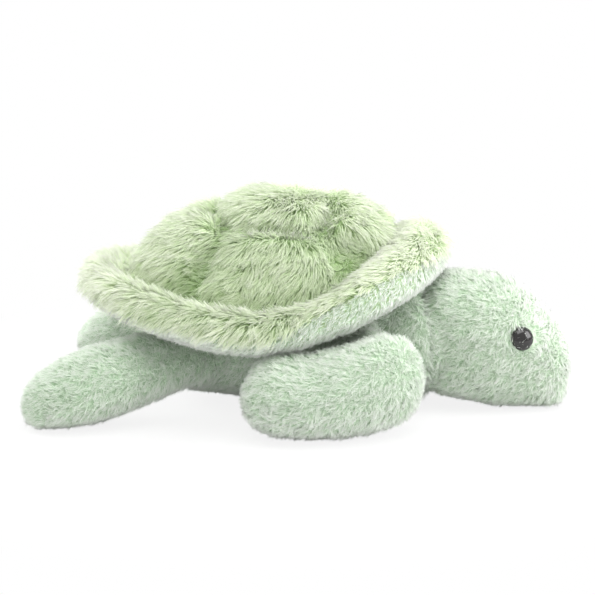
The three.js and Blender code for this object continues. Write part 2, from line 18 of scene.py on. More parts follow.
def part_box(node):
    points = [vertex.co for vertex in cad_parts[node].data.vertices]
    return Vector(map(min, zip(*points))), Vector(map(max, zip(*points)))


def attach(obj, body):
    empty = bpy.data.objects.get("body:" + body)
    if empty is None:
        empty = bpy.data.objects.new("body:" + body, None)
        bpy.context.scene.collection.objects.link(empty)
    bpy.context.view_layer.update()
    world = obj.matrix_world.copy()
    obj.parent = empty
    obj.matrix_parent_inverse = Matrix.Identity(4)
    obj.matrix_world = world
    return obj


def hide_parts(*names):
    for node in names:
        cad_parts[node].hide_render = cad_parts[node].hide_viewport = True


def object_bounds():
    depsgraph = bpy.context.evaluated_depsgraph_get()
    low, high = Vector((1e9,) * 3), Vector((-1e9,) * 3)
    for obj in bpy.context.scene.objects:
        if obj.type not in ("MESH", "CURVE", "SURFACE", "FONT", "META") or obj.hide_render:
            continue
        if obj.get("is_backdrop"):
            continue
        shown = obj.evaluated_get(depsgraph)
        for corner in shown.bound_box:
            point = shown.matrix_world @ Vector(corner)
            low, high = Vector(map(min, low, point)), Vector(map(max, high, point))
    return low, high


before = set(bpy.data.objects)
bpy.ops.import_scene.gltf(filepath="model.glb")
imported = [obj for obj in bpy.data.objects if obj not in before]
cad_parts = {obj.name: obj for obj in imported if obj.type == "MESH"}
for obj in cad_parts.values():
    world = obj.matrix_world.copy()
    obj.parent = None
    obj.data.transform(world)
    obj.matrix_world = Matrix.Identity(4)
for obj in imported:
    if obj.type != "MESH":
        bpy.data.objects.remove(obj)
cad_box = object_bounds()
scene = bpy.context.scene
scene.view_settings.view_transform = "Standard"
mm = 0.001

# %% [markdown]
# ## Camera
#
# The photograph is a side view of the turtle's right side, taken from a little above and slightly from the
# front. A long lens from 1.2 m keeps the near and far flippers close in size, as they are in the photograph.

# %% Camera
view_azimuth = math.radians(6)
view_elevation = math.radians(12)
view_distance = 1200 * mm
view_target = Vector((-5.5, 0, 62.4)) * mm
frame_width = 357 * mm
sensor_width = 36.0


def aim(obj, place, target):
    """Puts an object in a place and turns its -Z axis to a target."""
    obj.location = place
    obj.rotation_euler = (target - place).to_track_quat("-Z", "Y").to_euler()
    scene.collection.objects.link(obj)


view_back = Vector((
    math.sin(view_azimuth) * math.cos(view_elevation),
    -math.cos(view_azimuth) * math.cos(view_elevation),
    math.sin(view_elevation),
))
camera_data = bpy.data.cameras.new("camera")
camera_data.sensor_width = sensor_width
camera_data.lens = sensor_width * view_distance / frame_width
camera = bpy.data.objects.new("camera", camera_data)
aim(camera, view_target + view_back * view_distance, view_target)
scene.camera = camera
print("lens", round(camera_data.lens, 1), "mm")

# %% [markdown]
# ## Node maths
#
# Both materials and Geometry Nodes are trees of nodes. A tree could be wired node by node, but a formula is
# easier to read. A small class lets a tree be written as Python expressions, so that `1 - mask` adds its
# own Math node, and one method of it adds any other node.

# %% Node maths


class Value:
    """A node's output. Arithmetic adds Math nodes for numbers and Vector Math nodes for vectors."""

    def __init__(self, tree, socket=None):
        self.tree = tree
        self.socket = socket

    def node(self, kind, settings=None, inputs=None, output=0):
        """Adds a node, makes its settings, fills or links its sockets and returns one output."""
        made = self.tree.nodes.new(kind)
        for name, setting in (settings or {}).items():
            if name == "stops":
                place_stops(made.color_ramp, setting)
            else:
                setattr(made, name, setting)
        for key, given in (inputs or {}).items():
            target = pick([s for s in made.inputs if s.enabled], key)
            if isinstance(given, Value):
                given.to(target)
            else:
                target.default_value = given
        return Value(self.tree, pick([s for s in made.outputs if s.enabled], output))

    def also(self, name):
        """Another output of the same node."""
        return Value(self.tree, self.socket.node.outputs[name])

    def to(self, target):
        """Links this output to an input socket."""
        self.tree.links.new(self.socket, target)

    def combine(self, operation, first, second):
        """A Math or Vector Math node of two values, of which this is one."""
        vectors = [isinstance(v, Value) and v.socket.type == "VECTOR" for v in (first, second)]
        if not any(vectors):
            return self.node("ShaderNodeMath", {"operation": operation}, {0: first, 1: second})
        if operation == "MULTIPLY" and not all(vectors):
            vector, number = (first, second) if vectors[0] else (second, first)
            return self.node("ShaderNodeVectorMath", {"operation": "SCALE"}, {0: vector, "Scale": number})
        return self.node("ShaderNodeVectorMath", {"operation": operation}, {0: first, 1: second})

    def __add__(self, other):
        return self.combine("ADD", self, other)

    def __radd__(self, other):
        return self.combine("ADD", other, self)

    def __sub__(self, other):
        return self.combine("SUBTRACT", self, other)

    def __rsub__(self, other):
        return self.combine("SUBTRACT", other, self)

    def __mul__(self, other):
        return self.combine("MULTIPLY", self, other)

    def __rmul__(self, other):
        return self.combine("MULTIPLY", other, self)


def pick(sockets, key):
    """A socket by its place or its name."""
    if isinstance(key, int):
        return sockets[key]
    return next(s for s in sockets if s.name == key)


def place_stops(ramp, stops):
    """Sets a colour ramp's stops from (place, colour) pairs."""
    while len(ramp.elements) < len(stops):
        ramp.elements.new(1)
    for element, (place, colour) in zip(ramp.elements, stops):
        element.position = place
        element.color = colour


def maths(operation, *given):
    """A Math node of some values. The first is a node's output."""
    return given[0].node("ShaderNodeMath", {"operation": operation}, dict(enumerate(given)))


def vector_maths(operation, *given, output=0):
    """The same with a Vector Math node."""
    return given[0].node("ShaderNodeVectorMath", {"operation": operation}, dict(enumerate(given)), output)


def dot(a, b):
    return vector_maths("DOT_PRODUCT", a, b, output="Value")


def cross(a, b):
    return vector_maths("CROSS_PRODUCT", a, b)


def unit(a):
    return vector_maths("NORMALIZE", a)


def split(a):
    """A vector's X. Its Y and Z are other outputs of the same node."""
    return a.node("ShaderNodeSeparateXYZ", {}, {0: a}, "X")


def noise(place, scale, detail=2.0, output=0):
    """A noise texture over some places."""
    return place.node("ShaderNodeTexNoise", {}, {"Vector": place, "Scale": scale, "Detail": detail}, output)


def between(a, b, share):
    """A vector part of the way from one to the other."""
    return a + (b - a) * share


def linear(red, green, blue):
    """A colour seen as 0 to 255 values, as the linear values that nodes take."""
    shares = [c / 255 for c in (red, green, blue)]
    return [c / 12.92 if c <= 0.04045 else ((c + 0.055) / 1.055) ** 2.4 for c in shares] + [1]


# %% [markdown]
# ## Backing cloth
#
# Under its pile a plush toy is a bag of knitted cloth, pulled tight over its stuffing. It could be sculpted,
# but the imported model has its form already, so the solids of each body's covers and stuffing are joined and
# remeshed into one closed skin. A short cloth simulation under pressure then fills the skin out by a few
# mm, and by less on the quilted shell, whose stitches hold it. Last, the skin is drawn in by the depth of
# the pile that will stand on it. Near a joint it stands out instead, to run on under its neighbour.

# %% Bags
shell_cover_nodes = ["shell_dome_cover", "shell_rim_cover", "shell_underside"]
body_nodes = {
    "shell": shell_cover_nodes + ["shell_filling", "rim_filling"],
    "torso": ["torso_upper_cover", "belly_panel", "torso_filling"],
    "neck": ["neck_cover", "neck_filling"],
    "head": ["head_cover_right", "head_cover_left", "head_filling"],
}
for limb in ("front", "rear"):
    for side in ("right", "left"):
        parts = ("top", "underside", "filling")
        body_nodes[f"{limb}_flipper_{side}"] = [f"{limb}_flipper_{part}_{side}" for part in parts]
print(len(body_nodes), "bags:", ", ".join(body_nodes))

# %% Skins from solids
merge_distance = 0.001 * mm


def evaluated_mesh(obj):
    """The mesh that an object's modifiers make. The object itself is then removed."""
    graph = bpy.context.evaluated_depsgraph_get()
    made = obj.evaluated_get(graph)
    mesh = bpy.data.meshes.new_from_object(made, preserve_all_data_layers=True, depsgraph=graph)
    bpy.data.objects.remove(obj)
    return mesh


def joined_copy(nodes):
    """One mesh of copies of some CAD nodes, with their doubled corners merged."""
    shape = bmesh.new()
    for name in nodes:
        shape.from_mesh(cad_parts[name].data)
    bmesh.ops.remove_doubles(shape, verts=shape.verts, dist=merge_distance)
    mesh = bpy.data.meshes.new("copy")
    shape.to_mesh(mesh)
    shape.free()
    return mesh


def without_specks(mesh):
    """Removes the few loose blocks that remeshing can leave inside a skin, and keeps the skin."""
    shape = bmesh.new()
    shape.from_mesh(mesh)
    unseen = set(shape.verts)
    pieces = []
    while unseen:
        piece = [unseen.pop()]
        for corner in piece:
            joined = {edge.other_vert(corner) for edge in corner.link_edges} & unseen
            unseen -= joined
            piece.extend(joined)
        pieces.append(piece)
    pieces.sort(key=len)
    for piece in pieces[:-1]:
        bmesh.ops.delete(shape, geom=piece, context="VERTS")
    shape.to_mesh(mesh)
    shape.free()
    return mesh


def remeshed(name, mesh, voxel, rounds):
    """A mesh made one closed, even and softened skin."""
    obj = bpy.data.objects.new(name, mesh)
    scene.collection.objects.link(obj)
    remesh = obj.modifiers.new("remesh", "REMESH")
    remesh.mode = "VOXEL"
    remesh.voxel_size = voxel
    remesh.use_smooth_shade = True
    smooth = obj.modifiers.new("smooth", "SMOOTH")
    smooth.iterations = rounds
    return without_specks(evaluated_mesh(obj))


def points_of(mesh):
    """A mesh's corners and their normals as two tables."""
    places = np.zeros(len(mesh.vertices) * 3)
    mesh.vertices.foreach_get("co", places)
    normals = np.zeros(len(mesh.vertices) * 3)
    mesh.vertex_normals.foreach_get("vector", normals)
    return places.reshape(-1, 3), normals.reshape(-1, 3)


def move_points(mesh, places):
    mesh.vertices.foreach_set("co", places.ravel())
    mesh.update()


# %% Distances


def tree_of(nodes):
    """A search tree over the triangles of some CAD nodes."""
    mesh = joined_copy(nodes)
    corners = [v.co.copy() for v in mesh.vertices]
    faces = [tuple(p.vertices) for p in mesh.polygons]
    return BVHTree.FromPolygons(corners, faces)


def distances(tree, places):
    """How far each place is from the nearest face of a search tree."""
    return np.array([tree.find_nearest(Vector(p))[3] for p in places])


def eased(value, low, high):
    """0 below low, 1 above high, and a smooth rise between."""
    share = np.clip((value - low) / (high - low), 0, 1)
    return share * share * (3 - 2 * share)


def neighbour_tree(name):
    """A search tree over the covers of every other body."""
    others = [nodes for other, nodes in body_nodes.items() if other != name]
    return tree_of([n for nodes in others for n in nodes if "filling" not in n])


def nearest_cover(places):
    """The number of the shell's cover nearest to each place: 0 the dome, 1 the rim, 2 the underside."""
    return np.argmin([distances(tree_of([node]), places) for node in shell_cover_nodes], axis=0)


# %% Stuffing
bag_voxel = 5 * mm
bag_rounds = 2
bag_slack = 1 * mm
bag_pressure = 4
bag_frames = 20
bag_neighbours = 6
bag_softening = 0.5 * mm


def nearest_points(places, near_count):
    """A function that finds the nearest of some places to each of its rows, and their weights."""
    tree = KDTree(len(places))
    for i, place in enumerate(places):
        tree.insert(place, i)
    tree.balance()

    def found(rows):
        hits = [tree.find_n(row, near_count) for row in rows]
        index = np.array([[h[1] for h in hit] for hit in hits])
        weight = 1 / (np.array([[h[2] for h in hit] for hit in hits]) + bag_softening)
        return index, weight / weight.sum(axis=1)[:, None]

    return found


def stuffed(name, nodes, places, cap):
    """How far the stuffing pushes each place of a skin, from a cloth simulation of the bag under pressure."""
    mesh = remeshed(f"{name}_bag", joined_copy(nodes), bag_voxel, bag_rounds)
    start, normals = points_of(mesh)
    start -= normals * bag_slack
    move_points(mesh, start)
    bag = bpy.data.objects.new(f"{name}_bag", mesh)
    scene.collection.objects.link(bag)
    cloth = bag.modifiers.new("cloth", "CLOTH")
    cloth.settings.use_pressure = True
    cloth.settings.uniform_pressure_force = bag_pressure
    cloth.settings.effector_weights.gravity = 0
    for frame_number in range(1, bag_frames + 1):
        scene.frame_set(frame_number)
    graph = bpy.context.evaluated_depsgraph_get()
    end, _ = points_of(bag.evaluated_get(graph).data)
    bpy.data.objects.remove(bag)
    scene.frame_set(1)
    push = end - start
    push -= push.mean(axis=0)
    reach = np.linalg.norm(push, axis=1)
    push *= np.minimum(1, cap / np.maximum(reach, 1e-9))[:, None]
    index, weight = nearest_points(start, bag_neighbours)(places)
    print(name, "bag", len(start), "points, pushed up to", round(reach.max() / mm, 1), "mm")
    return (push[index] * weight[:, :, None]).sum(axis=1)


# %% Skins
skin_voxel = 2.2 * mm
skin_rounds = 6
bag_cap = 3 * mm
quilted_cap = 1 * mm
neck_outset = 3.5 * mm
cover_insets = np.array([6.5 * mm, 5 * mm, 3 * mm])
front_fullness = 3.5 * mm
front_reach = (10 * mm, 50 * mm)
body_inset = 3 * mm
brow_outset = 2 * mm
brow_tilt = (-0.2, 0.4)
joint_outset = 2 * mm
joint_reach = (1 * mm, 9 * mm)


def drawn_in(name, places, normals):
    """How far each place of a skin is drawn in for its pile, and below zero where it stands out."""
    if name == "neck":
        return np.full(len(places), -neck_outset)
    if name == "shell":
        return cover_insets[nearest_cover(places)] - front_fullness * eased(places[:, 0], *front_reach)
    inset = np.full(len(places), body_inset)
    if name == "head":
        inset -= brow_outset * eased(normals[:, 2], *brow_tilt)
    joined = 1 - eased(distances(neighbour_tree(name), places), *joint_reach)
    return inset - (inset + joint_outset) * joined


skins = {}
for name, nodes in body_nodes.items():
    mesh = remeshed(f"{name}_skin", joined_copy(nodes), skin_voxel, skin_rounds)
    places, normals = points_of(mesh)
    cap = quilted_cap if name == "shell" else bag_cap
    move_points(mesh, places + stuffed(name, nodes, places, cap))
    places, normals = points_of(mesh)
    move_points(mesh, places - normals * drawn_in(name, places, normals)[:, None])
    skins[name] = mesh
    print(name, "skin", len(mesh.vertices), "points")

# %% [markdown]
# ## Shell panels
#
# The real shell is sewn from panels: a hexagon with six scutes round it, a rim of long pile, and an
# underside of short pile that comes up to the rim's edge. They could be cut as separate sheets, but a number
# on each face of one skin leaves no gaps. The rim gets four numbers, to keep each piece of pile small.

# %% Shell panels
shell_x = -26.5 * mm
dome_half_length = 83.5 * mm
dome_half_width = 69.5 * mm
crest = Vector((-17, 0)) * mm
hexagon = [Vector(c) * mm for c in ((24, 0), (8, 39), (-40, 39), (-59, 0), (-40, -39), (8, -39))]
hexagon_sides = list(zip(hexagon, hexagon[1:] + hexagon[:1]))
scute_names = ["front_left", "left", "rear_left", "rear_right", "right", "front_right"]
rim_names = ["front_left", "rear_left", "rear_right", "front_right"]
first_rim_panel = 1 + len(scute_names)
underside_panel = first_rim_panel + len(rim_names)
shell_panels = [
    "hexagon",
    *(f"scute_{n}" for n in scute_names),
    *(f"rim_{n}" for n in rim_names),
    "underside",
]
rim_half_length = 96 * mm
rim_half_width = 82 * mm
rim_side_z = 57 * mm
rim_front_rise = 40 * mm
rim_rear_rise = 17 * mm
rim_rear_bow = 1.2
edge_rise_mm = 8
edge_rise_forward = (0, 0.6)
edge_dip_mm = 7
edge_dip_forward = (0.75, 1)


def rim_section(places):
    """Each place's turn about the rim, and its way out from and up from the rim's centre line."""
    turn = np.arctan2(places[:, 1] / rim_half_width, (places[:, 0] - shell_x) / rim_half_length)
    along = np.cos(turn)
    rise = np.where(along > 0, rim_front_rise * along ** 2, rim_rear_rise * np.abs(along) ** rim_rear_bow)
    reach = np.hypot((places[:, 0] - shell_x) / rim_half_length, places[:, 1] / rim_half_width)
    scale = np.hypot(rim_half_length * along, rim_half_width * np.sin(turn))
    return turn, (reach - 1) * scale, places[:, 2] - rim_side_z - rise


def shell_panel(places, region):
    """The number of the shell panel that each place is on. The region is that of the nearest cover."""
    offset = places[:, :2] - np.array(crest)
    corner_turns = [math.atan2(c.y, c.x - crest.x) % math.tau for c in hexagon]
    turn = np.arctan2(offset[:, 1], offset[:, 0]) % math.tau
    sector = np.searchsorted(np.array(corner_turns[1:]), turn) % len(hexagon)
    inside = np.ones(len(places), bool)
    for first, second in hexagon_sides:
        run = second - first
        inside &= (places[:, 1] - first.y) * run.x - (places[:, 0] - first.x) * run.y > 0
    panel = np.where(inside, 0, 1 + sector)
    quarter = (turn // (math.pi / 2)).astype(int) % 4
    panel = np.where(region == 1, first_rim_panel + quarter, panel)
    around, out, up = rim_section(places)
    forward = np.cos(around)
    edge = edge_rise_mm * eased(forward, *edge_rise_forward) - edge_dip_mm * eased(forward, *edge_dip_forward)
    short = (region == 2) | ((region == 1) & (out > 0) & (up < edge * mm))
    return np.where(short, underside_panel, panel)


def face_panels(mesh):
    """The number of the shell panel that each face is on."""
    centres = np.zeros(len(mesh.polygons) * 3)
    mesh.polygons.foreach_get("center", centres)
    centres = centres.reshape(-1, 3)
    return shell_panel(centres, nearest_cover(centres))


panels = face_panels(skins["shell"])
for panel, panel_name in enumerate(shell_panels):
    print(panel_name, int((panels == panel).sum()), "faces")

# %% [markdown]
# ## Quilted seams
#
# Stitches hold the dome down along the hexagon's sides and from its corners to the rim, and the cloth puffs
# up between them. The valleys could be carved by hand, but a rule makes them alike: each place is drawn in
# by how near it is to a seam. Where seams cross, a smooth cap is fitted, so that no pit is left.

# %% Seams
seam_depth = 7 * mm
seam_width = 6 * mm
valley_width = 15 * mm
seam_flat = 0.1
seam_angles = [0, 39, 117, 180, 243, 321]
seam_spreads = np.array([2.1, 1.5, 0.6])
side_scutes = [1 + scute_names.index(n) for n in ("left", "right")]
front_corner_fade = (4 * mm, 22 * mm)
corner_fade = (3 * mm, 14 * mm)
corner_pull = 0.55
open_pull = 0.45


def from_line(places, first, second):
    """The way to each place from the nearest point of a line, seen from above, and how far along it is."""
    start = np.array(first)
    run = np.array(second) - start
    share = np.clip((places[:, :2] - start) @ run / (run @ run), 0, 1)
    return places[:, :2] - start - share[:, None] * run, share


def from_seams(places, spread):
    """The way to each place on the dome from the seam that pulls it in most, and how much it is pulled in."""
    way = np.zeros((len(places), 3))
    pulled = np.zeros(len(places))
    for (corner, following), angle in zip(hexagon_sides, seam_angles):
        turn = math.radians(angle)
        foot = (shell_x + dome_half_length * math.cos(turn), dome_half_width * math.sin(turn))
        for end, end_width in ((following, seam_width), (foot, valley_width)):
            offset, share = from_line(places, corner, end)
            width = spread * (seam_width + (end_width - seam_width) * share)
            pull = 1 - eased(np.linalg.norm(offset, axis=1), seam_flat * width, width)
            stronger = pull > pulled
            pulled[stronger] = pull[stronger]
            way[stronger, :2] = offset[stronger]
    return way, pulled


def from_corners(places):
    """How far each place is from the front corner of the hexagon, and from the nearest of its corners."""
    reaches = [np.linalg.norm(places[:, :2] - np.array(c), axis=1) for c in hexagon]
    return reaches[0], np.min(reaches, axis=0)


def panel_groups(places, region):
    """0 for places on the hexagon, 2 for those on a side scute and 1 for the rest."""
    panel = shell_panel(places, region)
    return np.select([panel == 0, np.isin(panel, side_scutes)], [0, 2], 1)


def dome_seams(places, above, groups):
    """The way to each place from its seam, and how much the seam draws it in."""
    way, pulled = from_seams(places, seam_spreads[groups])
    front_corner, corner = from_corners(places)
    near_seam = np.where(above, pulled, 0)
    near_seam *= eased(front_corner, *front_corner_fade) * (
        corner_pull + open_pull * eased(corner, *corner_fade))
    return way, near_seam


# %% Corners and rim front
front_patch = 12
front_fill = 6 * mm
corner_patch = 8
patch_ring = 2.5
patch_fade = (0.5, 2)
front_roll = 3 * mm
front_droop = 0.5 * mm
chin_forward = (0.7, 0.98)
chin_out = (-4 * mm, 6 * mm)
chin_up = (-2 * mm, 10 * mm)
end_forward = (0.5, 0.95)


def bridged(places, chosen, centre, inner, fill):
    """Heights near a centre, carried over from a curved surface that fits the ring round about."""
    offset = (places[:, :2] - np.array(centre)) / mm
    reach = np.linalg.norm(offset, axis=1)
    x, y = offset.T
    terms = np.stack([np.ones(len(x)), x, y, x * x, x * y, y * y], axis=1)
    ring = chosen & (reach > inner) & (reach < patch_ring * inner)
    fitted = np.linalg.lstsq(terms[ring], places[ring, 2], rcond=None)[0]
    share = np.where(chosen, 1 - eased(reach, patch_fade[0] * inner, patch_fade[1] * inner), 0)
    return places[:, 2] * (1 - share) + (terms @ fitted + fill) * share


def shape_shell(mesh, places, normals, on_dome, above, near_seam):
    """Draws the shell's skin in along its seams, fills their corners and rolls the rim's front under."""
    for corner in hexagon:
        patch, fill = (front_patch, front_fill) if corner == hexagon[0] else (corner_patch, 0)
        places[:, 2] = bridged(places, above, corner, patch, fill)
    around, out, up = rim_section(places)
    forward = np.where(on_dome, -1, np.cos(around))
    chin = eased(forward, *chin_forward) * eased(out, *chin_out) * (1 - eased(up, *chin_up))
    droop = np.zeros((len(places), 3))
    droop[:, 2] = -front_droop * eased(forward, *end_forward)
    move_points(mesh, places - normals * (near_seam * seam_depth - front_roll * chin)[:, None] + droop)


# %% [markdown]
# ## Combing
#
# Pile isn't random. It leans the way that the cloth was cut and brushed: out and down the shell, back along
# the body and head, down the neck, and away from the eyes and seams. It could be combed by hand in Blender,
# but a rule keeps both sides alike. Each skin gets this direction, the pile's length, how densely it stands
# and how light it is, as attributes at its corners, worked out from the place and the normal. How light it is
# holds painted light and shade: painted shade in the shell's seams, on its side scutes and on the rear
# flippers, and painted light on the shell's front and rim, on the snout and under the flippers.

# %% Combing helpers
pulls = {
    "shell": (1.3, 0.5, 0.7),
    "head": (0, 1, 0.35),
    "flipper": (0.4, 1.2, 0.5),
    "neck": (0, 0.4, 1),
    "torso": (0, 1, 0.6),
}


def set_attribute(mesh, name, kind, domain, values):
    layer = mesh.attributes.new(name, kind, domain)
    key = "vector" if kind == "FLOAT_VECTOR" else "value"
    layer.data.foreach_set(key, np.asarray(values).ravel())


def unit_rows(rows):
    return rows / np.maximum(np.linalg.norm(rows, axis=1), 1e-9)[:, None]


def leaning(kind, outward):
    """The combing of a kind of body, from its pulls outwards, to the tail and to the floor."""
    pull_out, pull_back, pull_down = pulls[kind]
    return pull_out * outward + np.array([-pull_back, 0, -pull_down])


# %% Combing the shell
crest_spread = 22 * mm
seam_comb = 1.6
seam_comb_fade = (5 * mm, 16 * mm)
seam_trim = 0.6
front_forward = (0.2, 0.8)
front_comb = np.array([-1.2, 0, -0.3])
front_trim = 0.25
# Tone of each panel group. The side scutes' lower tone is painted shade, as less light falls on them.
panel_tones_with_painted_shade = np.array([1.08, 1.08, 0.84])
# Painted shade in the creases along the seams.
painted_seam_shades = np.array([0.65, 0.65, 0.15])
# Painted light on the shell's front.
painted_front_scute_light = 0.12
# Painted light on the rim: at its ends, on the band under its edge, and at its front.
painted_rim_end_light = 0.5
painted_rim_under_light = 0.3
under_drop = 6 * mm
painted_rim_front_light = 0.7
front_light_forward = (0.6, 0.95)


def combed_shell(mesh, places, normals):
    """Shapes the shell's skin, and works out its pile's combing, length and tone. The tone holds painted
    shade on the side scutes and in the seams, and painted light at the front and round the rim.
    """
    region = nearest_cover(places)
    on_dome = region == 0
    above = on_dome & (normals[:, 2] > 0)
    groups = panel_groups(places, region)
    outward = places - np.array([crest.x, 0, 0])
    outward[:, 2] = 0
    outward /= (np.linalg.norm(outward, axis=1) + crest_spread)[:, None]
    comb = leaning("shell", outward)
    way, near_seam = dome_seams(places, above, groups)
    shape_shell(mesh, places, normals, on_dome, above, near_seam)
    _, corner = from_corners(places)
    around, _, up = rim_section(places)
    forward = np.cos(around)
    front = np.where(on_dome, 0, eased(forward, *front_forward))
    comb += unit_rows(way) * (seam_comb * near_seam * eased(corner, *seam_comb_fade))[:, None]
    comb += front_comb * front[:, None]
    length = (1 - seam_trim * near_seam) * (1 - front_trim * front)
    # Painted shade: lower on the side scutes, and lower still in the seams' creases.
    tone = panel_tones_with_painted_shade[groups] - painted_seam_shades[groups] * near_seam
    # Painted light, rising towards the shell's front.
    tone += painted_front_scute_light * eased(places[:, 0], *front_reach)
    # Painted light on the rim's ends, on the band under its edge where shade falls, and at its front.
    painted_rim_light = eased(np.abs(forward), *end_forward) * painted_rim_end_light + painted_rim_under_light * eased(-up, 0, under_drop)
    rim_tone_with_painted_light = tone + painted_rim_light + painted_rim_front_light * eased(forward, *front_light_forward)
    return comb, length, np.where(on_dome, tone, rim_tone_with_painted_light)


# %% Parting the pile at the eyes
eye_centres = {side: sum(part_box(f"eye_{side}"), Vector()) / 2 for side in ("right", "left")}
eye_shift = Vector((2.2, 0, 0.8)) * mm
eye_clear = 6.2 * mm
eye_bare_edge = 2 * mm
eye_parting = 16 * mm
eye_comb = 3
eye_back_comb = -0.6
eye_back_fluff = 0.3


def part_at_eyes(places, comb, length, cover):
    """Combs the pile away from the front of each eye and up to its back, and leaves the eye bare."""
    for centre in eye_centres.values():
        away = places - np.array(centre + eye_shift)
        reach = np.linalg.norm(away, axis=1)
        parting = eye_comb * (1 - eased(reach, eye_clear, eye_parting))
        behind = away[:, 0] < 0
        comb += unit_rows(away) * (parting * np.where(behind, eye_back_comb, 1))[:, None]
        length += np.where(behind, eye_back_fluff * parting, 0)
        cover *= eased(reach, eye_clear, eye_clear + eye_bare_edge)


for side, centre in eye_centres.items():
    print("eye", side, [round(c / mm, 1) for c in centre])

# %% Combing
press_probe = 2 * mm
press_reach = (0.2 * mm, 1.4 * mm)
pressed_cover = 0.1
# Painted light on the snout, which faces the lamps.
painted_snout_light = 0.35
snout_tilt = (0.1, 0.8)
# Painted light under the flippers, standing in for light bounced from the floor.
painted_sole_light = 0.25
sole_tilt = (-0.2, 0.6)
# Painted shade: the rear flippers' pile is made darker, as they lie in shade.
painted_rear_flipper_shade = 0.13
neck_fluff = 1.35
shoulder_fluff = 0.7
shoulder_rise = (36 * mm, 50 * mm)


def combed_body(name, places, normals, cover):
    """The combing, length and tone of the pile on a body other than the shell. The tone holds painted light
    on the snout and under the flippers, and painted shade on the rear flippers.
    """
    kind = "flipper" if "flipper" in name else name
    comb = leaning(kind, unit_rows(places - places.mean(axis=0)))
    length = np.ones(len(places))
    tone = np.ones(len(places))
    if kind == "head":
        # Painted light on the forward-facing snout.
        tone += painted_snout_light * eased(normals[:, 0], *snout_tilt)
        part_at_eyes(places, comb, length, cover)
    elif kind == "flipper":
        # Painted light on the downward-facing parts of the flippers.
        tone += painted_sole_light * eased(-normals[:, 2], *sole_tilt)
        # Painted shade on the rear flippers.
        if name.startswith("rear"):
            tone -= painted_rear_flipper_shade
    elif kind == "neck":
        length *= neck_fluff
    else:
        length += shoulder_fluff * eased(places[:, 2], *shoulder_rise)
    return comb, length, tone


for name, mesh in skins.items():
    places, normals = points_of(mesh)
    near = distances(neighbour_tree(name), places + normals * press_probe)
    cover = pressed_cover + (1 - pressed_cover) * eased(near, *press_reach)
    if name == "shell":
        face_panel = face_panels(mesh)
        comb, length, tone = combed_shell(mesh, places, normals)
    else:
        face_panel = np.zeros(len(mesh.polygons), int)
        comb, length, tone = combed_body(name, places, normals, cover)
    set_attribute(mesh, "comb", "FLOAT_VECTOR", "POINT", unit_rows(comb))
    set_attribute(mesh, "long", "FLOAT", "POINT", length)
    set_attribute(mesh, "cover", "FLOAT", "POINT", cover)
    # The tint holds the painted light and shade worked out above.
    set_attribute(mesh, "tint_with_painted_light", "FLOAT", "POINT", tone)
    set_attribute(mesh, "panel", "INT", "FACE", face_panel)
    print(name, "pile length", round(length.mean(), 2), "tone", round(tone.mean(), 2))

# %% [markdown]
# ## Pile
#
# A strand of pile is a thin tapering fibre that stands on the cloth, bends over and meets its neighbours in
# a tuft. Blender's hair curves could draw it, but they can't be exported, so Geometry Nodes make it a mesh.
# They scatter the roots, work out for each root where its fibre bends and ends, draw the end to that of the
# nearest tuft, and bend a three-sided cone along that curve. Each strand keeps two numbers as its UV place:
# how light it is, with its painted light and shade, and how far along it a point lies.

# %% Node helpers for pile
seeds = {"shake": 11, "length": 12, "lean": 13, "tone": 14, "pull": 15, "twist": 16}


def named(start, attribute, kind="FLOAT"):
    """A stored attribute."""
    return start.node("GeometryNodeInputNamedAttribute", {"data_type": kind}, {"Name": attribute})


def chance(start, low, high, seed):
    """A random number for each point."""
    return start.node(
        "FunctionNodeRandomValue", {"data_type": "FLOAT"}, {"Min": low, "Max": high, "Seed": seed})


def keep(geometry, attribute, kind, value):
    """Stores an attribute on each point."""
    return geometry.node(
        "GeometryNodeStoreNamedAttribute", {"data_type": kind, "domain": "POINT"},
        {"Geometry": geometry, "Name": attribute, "Value": value})


def sampled(source, attribute, kind, index):
    """Another geometry's attribute at the point with an index."""
    return source.node(
        "GeometryNodeSampleIndex", {"data_type": kind},
        {"Geometry": source, "Value": named(source, attribute, kind), "Index": index})


# %% Roots
swirl_middle = (0.5, 0.5, 0.5)
length_spread = (0.75, 1.15)
lean_spread = (0.75, 1.25)
twist_spread = (-0.6, 0.6)
bend_rise = 0.5
root_rise = 0.12
bend_run = 0.22


